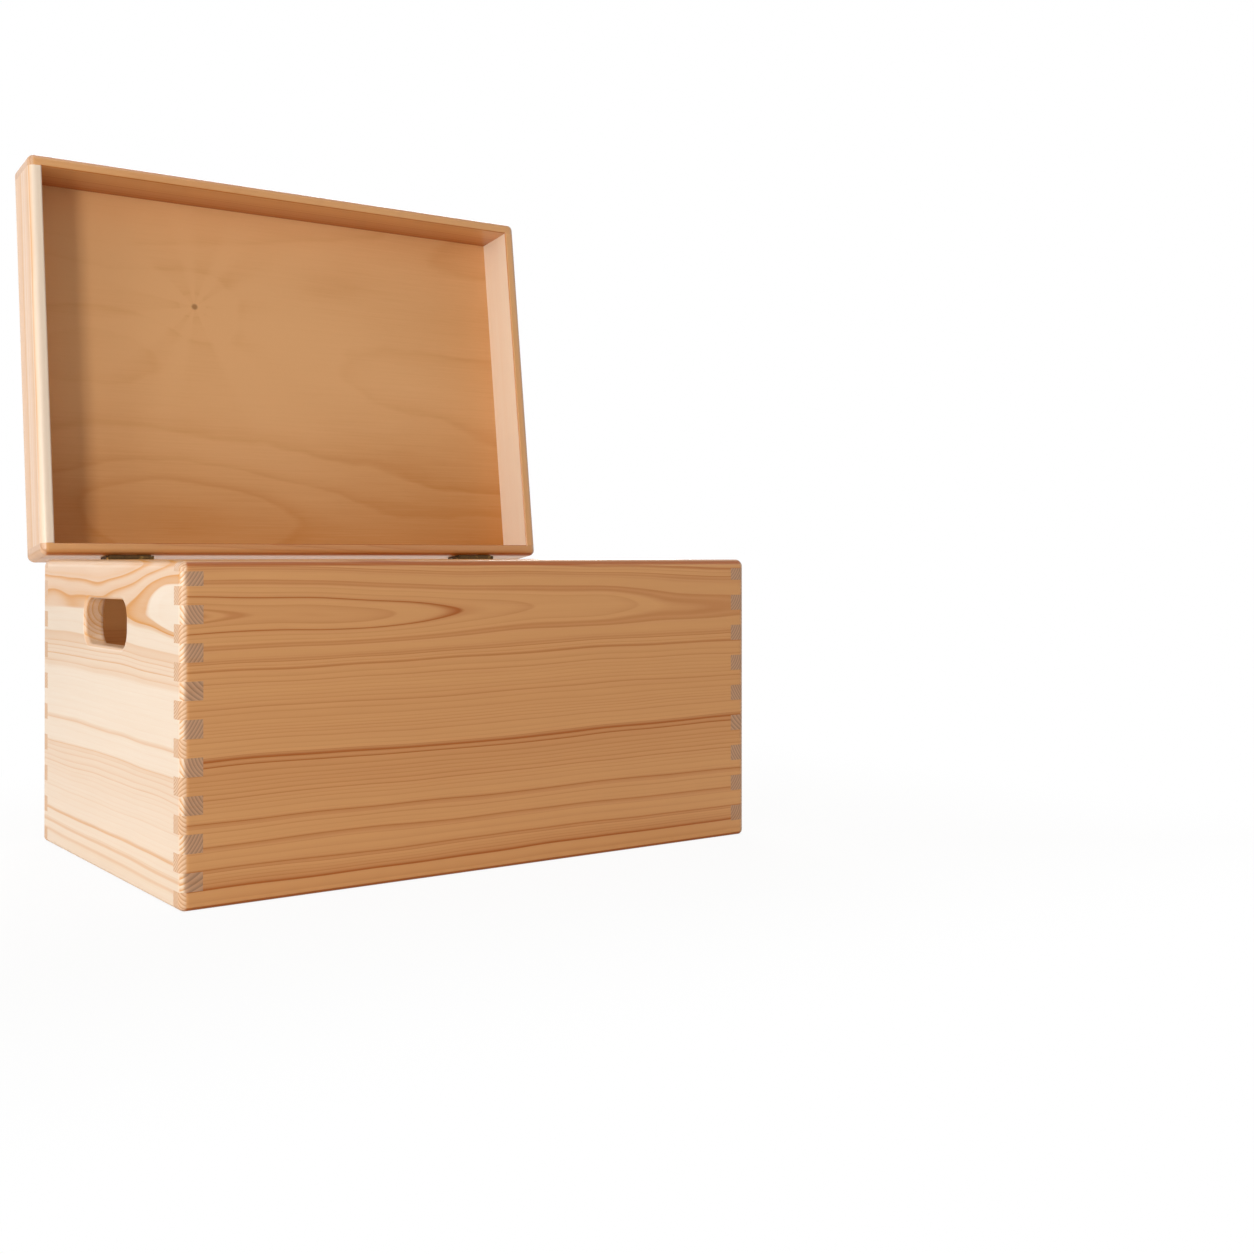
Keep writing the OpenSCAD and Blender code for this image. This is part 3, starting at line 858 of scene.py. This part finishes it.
def paint_wreath(inks, tree, finish):
    """A wreath of leaves and blossoms round a heart, in the middle of the print."""
    x, y, across, rise = 10, 152, 78, 48

    def on_wreath(degrees, grow=0.0):
        t = math.radians(degrees)
        return x + (across + grow) * math.cos(t), y + (rise + grow) * math.sin(t)

    spray = Patches("leaf")
    spray.add(leaf(15, 6), inks.sage, 1, 0.8)
    path = path_of([on_wreath(i * 4) for i in range(90)], closed=True)
    leaves = row_along("print_wreath_leaves", tree, path, spray.plain(), 58,
                       (inks.sage, inks.mist, inks.sage), finish, fan=0.62, smallest=0.7, seed=4)
    flowers = Patches("print_wreath_flowers")
    for start in (0, 180):
        flowers.add(ribbon([on_wreath(start + i * 5) for i in range(37)], 0.9), inks.sage, 0, 0.3)
    for i, degrees in enumerate((20, 74, 118, 165, 214, 262, 300, 342)):
        size = (19, 13, 16)[i % 3]
        petal_ink = (inks.coral, inks.pink, inks.peach)[i % 3]
        blossom(flowers, *on_wreath(degrees), size, petal_ink, inks.crimson)
    for degrees in range(8, 360, 24):
        flowers.add(oval(*on_wreath(degrees, 7), 3.2, 3.2, 14), inks.crimson, 2, 0.6)
    flowers.add(heart(x, y, 40), inks.coral, 1, 2.2)
    for side, ink in ((-1, inks.pink), (1, inks.peach)):
        flowers.add(heart(x + side * 36, y + 2, 15), ink, 1, 1.2)
    return [leaves, flowers.plain()]


def paint_flowers(inks):
    """Tall tulips and daisies at the print's right foot."""
    patches = Patches("print_flowers")
    for x, lean, height, ink in ((112, -4, 62, inks.coral), (140, 5, 92, inks.pink),
                                  (166, 7, 68, inks.crimson), (182, -3, 40, inks.peach)):
        stem = [(x + lean * (i / 8) ** 2, 12 + (height - 8) * i / 8) for i in range(9)]
        patches.add(ribbon(stem, 2), inks.sage, 5, 0.5)
        for side in (-1, 1):
            blade = turned(leaf(height * 0.52, height * 0.11), math.pi / 2 - side * 0.36, x, 16)
            patches.add(blade, inks.sage, 5.5 + 0.3 * side, 1)
        top_x, top_y = stem[-1]
        for k, spread in enumerate((-0.42, 0.42, 0)):
            petal = turned(leaf(27, 14), math.pi / 2 - spread, top_x, top_y - 3)
            patches.add(petal, ink, 6.5 + 0.5 * k, 1.3)
        for k in (-1, 0, 1):
            stroke = [(top_x + 2.2 * k, top_y + 4), (top_x + 3.2 * k, top_y + 15 - 3 * abs(k))]
            patches.add(ribbon(stroke, 0.8), inks.cream, 8.3 + 0.2 * k, 0.2)
    for x, y, size in ((92, 34, 17), (126, 26, 15), (-112, 30, 15), (-18, 27, 17), (30, 24, 14)):
        patches.add(ribbon([(x, 9), (x + 1, y)], 1.4), inks.sage, 5, 0.4)
        blossom(patches, x + 1, y, size, inks.cream, inks.peach, petals=9, layer=6)
    return patches.plain()


def paint_butterfly(patches, x, y, size, angle, upper, lower, inks):
    """A butterfly with its four wings spread."""
    for side in (-1, 1):
        for turn, length, width, ink in ((0.62, 0.62, 0.42, upper), (-0.75, 0.46, 0.34, lower)):
            wing = turned(leaf(size * length, size * width), math.pi / 2 - side * (math.pi / 2 - turn))
            patches.add(turned(wing, angle, x, y), ink, 2 if turn > 0 else 1, size * 0.04)
    body = turned(ribbon([(0, -size * 0.24), (0, size * 0.26)], size * 0.06), angle, x, y)
    patches.add(body, inks.umber, 3, 0.3)


def paint_sky(inks):
    """Butterflies, stars, small hearts and dots between the larger motifs."""
    patches = Patches("print_sky")
    paint_butterfly(patches, 84, 238, 27, -0.35, inks.blue, inks.mist, inks)
    paint_butterfly(patches, -30, 78, 22, 0.4, inks.pink, inks.peach, inks)
    stars = ((-181, 214, 10, inks.peach), (-52, 228, 9, inks.pink), (34, 234, 8, inks.blue),
             (184, 240, 9, inks.peach), (178, 150, 8, inks.coral), (-178, 118, 9, inks.blue),
             (108, 176, 7, inks.peach), (-62, 96, 7, inks.peach))
    hearts = ((-36, 226, 9, inks.coral), (66, 222, 8, inks.pink), (-176, 160, 9, inks.pink),
              (176, 118, 9, inks.coral), (-76, 112, 8, inks.coral), (8, 222, 7, inks.peach))
    for draw, motifs in ((star, stars), (heart, hearts)):
        for x, y, size, ink in motifs:
            patches.add(draw(x, y, size), ink, 0, 0.8)
    # The dots keep clear of these: each a place and how far it reaches.
    taken = [(motif[0], motif[1], 9) for motif in stars + hearts]
    taken += [(-116, 186, 62), (140, 206, 62), (84, 238, 20)]
    for i in range(26):
        x, y = -186 + 14.9 * i, 222 + 18 * math.sin(i * 2.4)
        if all(math.hypot(x - at, y - height) > reach for at, height, reach in taken):
            patches.add(oval(x, y, 2.4, 2.4, 12), (inks.coral, inks.sage, inks.blue)[i % 3], 0, 0.5)
    return patches.plain()


# ---- Operators ----

def lacquer(boards, wood):
    """Gives each board its own pine."""
    for board in boards:
        dress(board.node, pine(board, wood))
    return {"FINISHED"}


class KEEPSAKE_OT_walls(bpy.types.Operator):
    """Lacquers the four comb-jointed walls"""
    bl_idname = "keepsake.walls"
    bl_label = "Lacquer the walls"

    def execute(self, context):
        return lacquer((
            Board("left_wall", LEFT, 3.0, pith=(168, -17), dive=(-10, 170, 7.5), above=0.5,
                  bands=LEFT_BANDS, combed=True, contrast=1.7),
            Board("right_wall", RIGHT, 11.0, pith=(60, -30), lean=(0.02, 0.05), ring=4,
                  combed=True),
            Board("front_wall", FRONT, 5.0, warm=True, pith=(168, -13.6), lean=(0, 0.028),
                  ring=2.8, bands=FRONT_BANDS, combed=True, contrast=1.5),
            Board("back_wall", BACK, 8.0, warm=True, pith=(90, -12), lean=(0.01, 0.05),
                  ring=3.6, combed=True)), context.scene.keepsake_wood)


class KEEPSAKE_OT_lid_rails(bpy.types.Operator):
    """Lacquers the lid's four rails"""
    bl_idname = "keepsake.lid_rails"
    bl_label = "Lacquer the lid's rails"

    def execute(self, context):
        return lacquer((
            # Its bands keep the rim light and darken the outer face. This is partly the board's own
            # tone and partly painted shade on the outer face.
            Board("lid_left_rail", LEFT, 21.0, lid=True, pith=(-10, -9), ring=4.2,
                  bands=(((0, 0), (14, 0), (19, 0.6), (32, 0.35), (36, 0.6), (60, 0.4)),) * 3),
            Board("lid_right_rail", RIGHT, 26.0, lid=True, pith=(-60, -20), ring=4,
                  bands=(((0, 0.05), (90, 0.05)),) * 3, contrast=0.5, warm_rim=True),
            # Its bands darken it towards the panel: painted shade in the corner where the rail meets
            # the panel.
            Board("lid_front_rail", FRONT, 31.0, lid=True, warm=True, pith=(58, -9),
                  bands=(((0, 0.9), (18, 0.85), (34, 0.35), (48, 0.1), (70, 0.1)),) * 3),
            Board("lid_back_rail", BACK, 37.0, lid=True, warm=True, pith=(-30, -22),
                  lean=(0.02, 0.04), ring=3.4)), context.scene.keepsake_wood)


def lid_page():
    """The grain space of the lid's outer face, which is also the print's page."""
    return grain_space("lid_panel", BACK, UP, CLOSING)


def thickness_of(space, node):
    """How thick a panel is, in the millimetres of its own grain space."""
    return -min((space @ v.co).z for v in NODES[node].data.vertices)


class KEEPSAKE_OT_plywood(bpy.types.Operator):
    """Finishes the plywood of the bottom and the lid"""
    bl_idname = "keepsake.plywood"
    bl_label = "Finish the plywood"

    def execute(self, context):
        wood = context.scene.keepsake_wood
        for node, space in (("bottom_panel", grain_space("bottom_panel", BACK, UP)),
                            ("lid_panel", lid_page())):
            dress(node, plywood(node + "_birch", space, wood, thickness_of(space, node)))
        return {"FINISHED"}


class KEEPSAKE_OT_print(bpy.types.Operator):
    """Prints hills, balloons, bunting and a wreath on the lid's outer face"""
    bl_idname = "keepsake.print"
    bl_label = "Print the lid"

    def execute(self, context):
        inks = context.scene.keepsake_print
        page = lid_page()
        finish = printed_birch(page, context.scene.keepsake_wood)
        tree = row_tree()
        pieces = [
            paint_hills(inks),
            paint_balloon("print_large_balloon", -116, 200, 44,
                          (inks.coral, inks.cream, inks.pink, inks.peach, inks.pink, inks.cream,
                           inks.coral), inks),
            paint_balloon("print_small_balloon", 140, 212, 24,
                          (inks.blue, inks.mist, inks.cream, inks.mist, inks.blue), inks),
            *paint_garland(inks, tree, finish),
            *paint_wreath(inks, tree, finish),
            paint_flowers(inks),
            paint_sky(inks),
        ]
        for piece in pieces:
            onto_lid(piece, page, finish)
        return {"FINISHED"}


class KEEPSAKE_OT_hinges(bpy.types.Operator):
    """Plates the hinges, their pins and their screws"""
    bl_idname = "keepsake.hinges"
    bl_label = "Plate the hinges"

    def execute(self, context):
        for kind, tarnish in (("leaf", 0.62), ("pin", 0.5), ("screw", 0.56)):
            plating = plated(kind + "_plating", context.scene.keepsake_metal, tarnish)
            for node in NODES:
                if kind in node:
                    dress(node, plating)
        return {"FINISHED"}


class KEEPSAKE_OT_studio(bpy.types.Operator):
    """Sets up the floor, the lights, the white background and the camera"""
    bl_idname = "keepsake.studio"
    bl_label = "Set up the studio"

    PHOTO_SIDE = 1254
    PHOTO_FOCUS = 1576.8  # focal length in the photograph's pixels
    PHOTO_MIDDLE = (823.6, 548.9)  # where its level sight line meets the picture, in pixels
    SENSOR = 36.0

    def execute(self, context):
        studio = context.scene.keepsake_studio
        self.floor()
        self.background(context.scene)
        # Each lamp's name, place, width and height in metres, watts and tint.
        for name, place, width, height, watts, tint in (
                ("left_softbox", (-2.0, -0.35, 0.55), 1.1, 1.0, 15.6, (1.0, 0.98, 0.94)),
                ("front_lamp", (-2.3, -2.1, 0.72), 0.5, 0.5, 34.5, (1.0, 0.92, 0.81)),
                ("top_softbox", (-0.2, 0.0, 2.4), 1.6, 1.6, 10, (1.0, 0.97, 0.93)),
                ("right_softbox", (2.2, -1.2, 1.3), 1.6, 1.6, 6, (1.0, 0.95, 0.9)),
                ("back_softbox", (0.9, 2.4, 1.3), 1.5, 1.5, 40, (1.0, 0.98, 0.96))):
            self.lamp(name, place, width, height, watts * studio.power, tint)
        self.camera(context.scene, studio)
        context.scene.view_settings.view_transform = "Standard"
        return {"FINISHED"}

    def floor(self):
        mesh = bpy.data.meshes.new("floor")
        reach = 8  # metres each way
        corners = [(x * reach, y * reach, 0) for x, y in ((-1, -1), (1, -1), (1, 1), (-1, 1))]
        mesh.from_pydata(corners, [], [(0, 1, 2, 3)])
        mesh.materials.append(paper_white("floor_paper"))
        new_object("floor", mesh)

    def background(self, scene):
        """White where it is looked at, straight or in a mirror, and a dim warm light elsewhere."""
        scene.world = bpy.data.worlds.new("studio")
        scene.world.use_nodes = True
        sky = Tree(scene.world.node_tree)
        seen = sky.add("ShaderNodeLightPath")
        for ray in ("Is Glossy Ray", "Is Transmission Ray"):
            seen = seen.maths("MAXIMUM", seen, sky.add("ShaderNodeLightPath", output=ray))
        light = sky.tree.nodes["Background"].inputs
        sky.fill(light["Color"], sky.mix(seen, (1, 0.91, 0.8), (1, 1, 1)))
        dim = 0.2
        sky.fill(light["Strength"], dim + (1 - dim) * seen)

    def lamp(self, name, place, width, height, watts, tint):
        data = bpy.data.lights.new(name, "AREA")
        data.shape = "RECTANGLE"
        data.size = width
        data.size_y = height
        data.energy = watts
        data.color = tint
        lamp = new_object(name, data)
        lamp.location = place
        target = Vector((0, 0, 0.22))  # about the middle of the open box
        lamp.rotation_euler = (target - Vector(place)).to_track_quat("-Z", "Y").to_euler()

    def camera(self, scene, studio):
        data = bpy.data.cameras.new("camera")
        data.sensor_width = self.SENSOR
        data.lens = self.PHOTO_FOCUS / self.PHOTO_SIDE * self.SENSOR
        middle = self.PHOTO_SIDE / 2
        data.shift_x = (middle - self.PHOTO_MIDDLE[0]) / self.PHOTO_SIDE
        data.shift_y = (self.PHOTO_MIDDLE[1] - middle) / self.PHOTO_SIDE
        camera = new_object("camera", data)
        camera.location = studio.camera
        camera.rotation_euler = (math.pi / 2 - studio.dip, 0, -studio.heading)
        scene.camera = camera


class KEEPSAKE_PT_panel(bpy.types.Panel):
    """The box's steps and settings, in the sidebar"""
    bl_idname = "KEEPSAKE_PT_panel"
    bl_label = "Keepsake box"
    bl_space_type = "VIEW_3D"
    bl_region_type = "UI"
    bl_category = "Keepsake box"

    def draw(self, context):
        for step in STEPS:
            self.layout.operator(step.bl_idname)
        for name, kind in SETTINGS.items():
            box = self.layout.box()
            box.label(text=kind.__doc__)
            for setting in kind.__annotations__:
                box.prop(getattr(context.scene, name), setting)


SETTINGS = {"keepsake_wood": WoodSettings, "keepsake_print": PrintSettings,
            "keepsake_metal": MetalSettings, "keepsake_studio": StudioSettings}
STEPS = (KEEPSAKE_OT_walls, KEEPSAKE_OT_lid_rails, KEEPSAKE_OT_plywood, KEEPSAKE_OT_print,
         KEEPSAKE_OT_hinges, KEEPSAKE_OT_studio)
CLASSES = (*SETTINGS.values(), *STEPS, KEEPSAKE_PT_panel)


def register():
    for kind in CLASSES:
        bpy.utils.register_class(kind)
    for name, kind in SETTINGS.items():
        setattr(bpy.types.Scene, name, PointerProperty(type=kind))


def unregister():
    for name in SETTINGS:
        delattr(bpy.types.Scene, name)
    for kind in reversed(CLASSES):
        bpy.utils.unregister_class(kind)


def main():
    register()
    bpy.ops.keepsake.walls()
    bpy.ops.keepsake.lid_rails()
    bpy.ops.keepsake.plywood()
    bpy.ops.keepsake.print()
    bpy.ops.keepsake.hinges()
    bpy.ops.keepsake.studio()


if __name__ == "__main__":
    main()
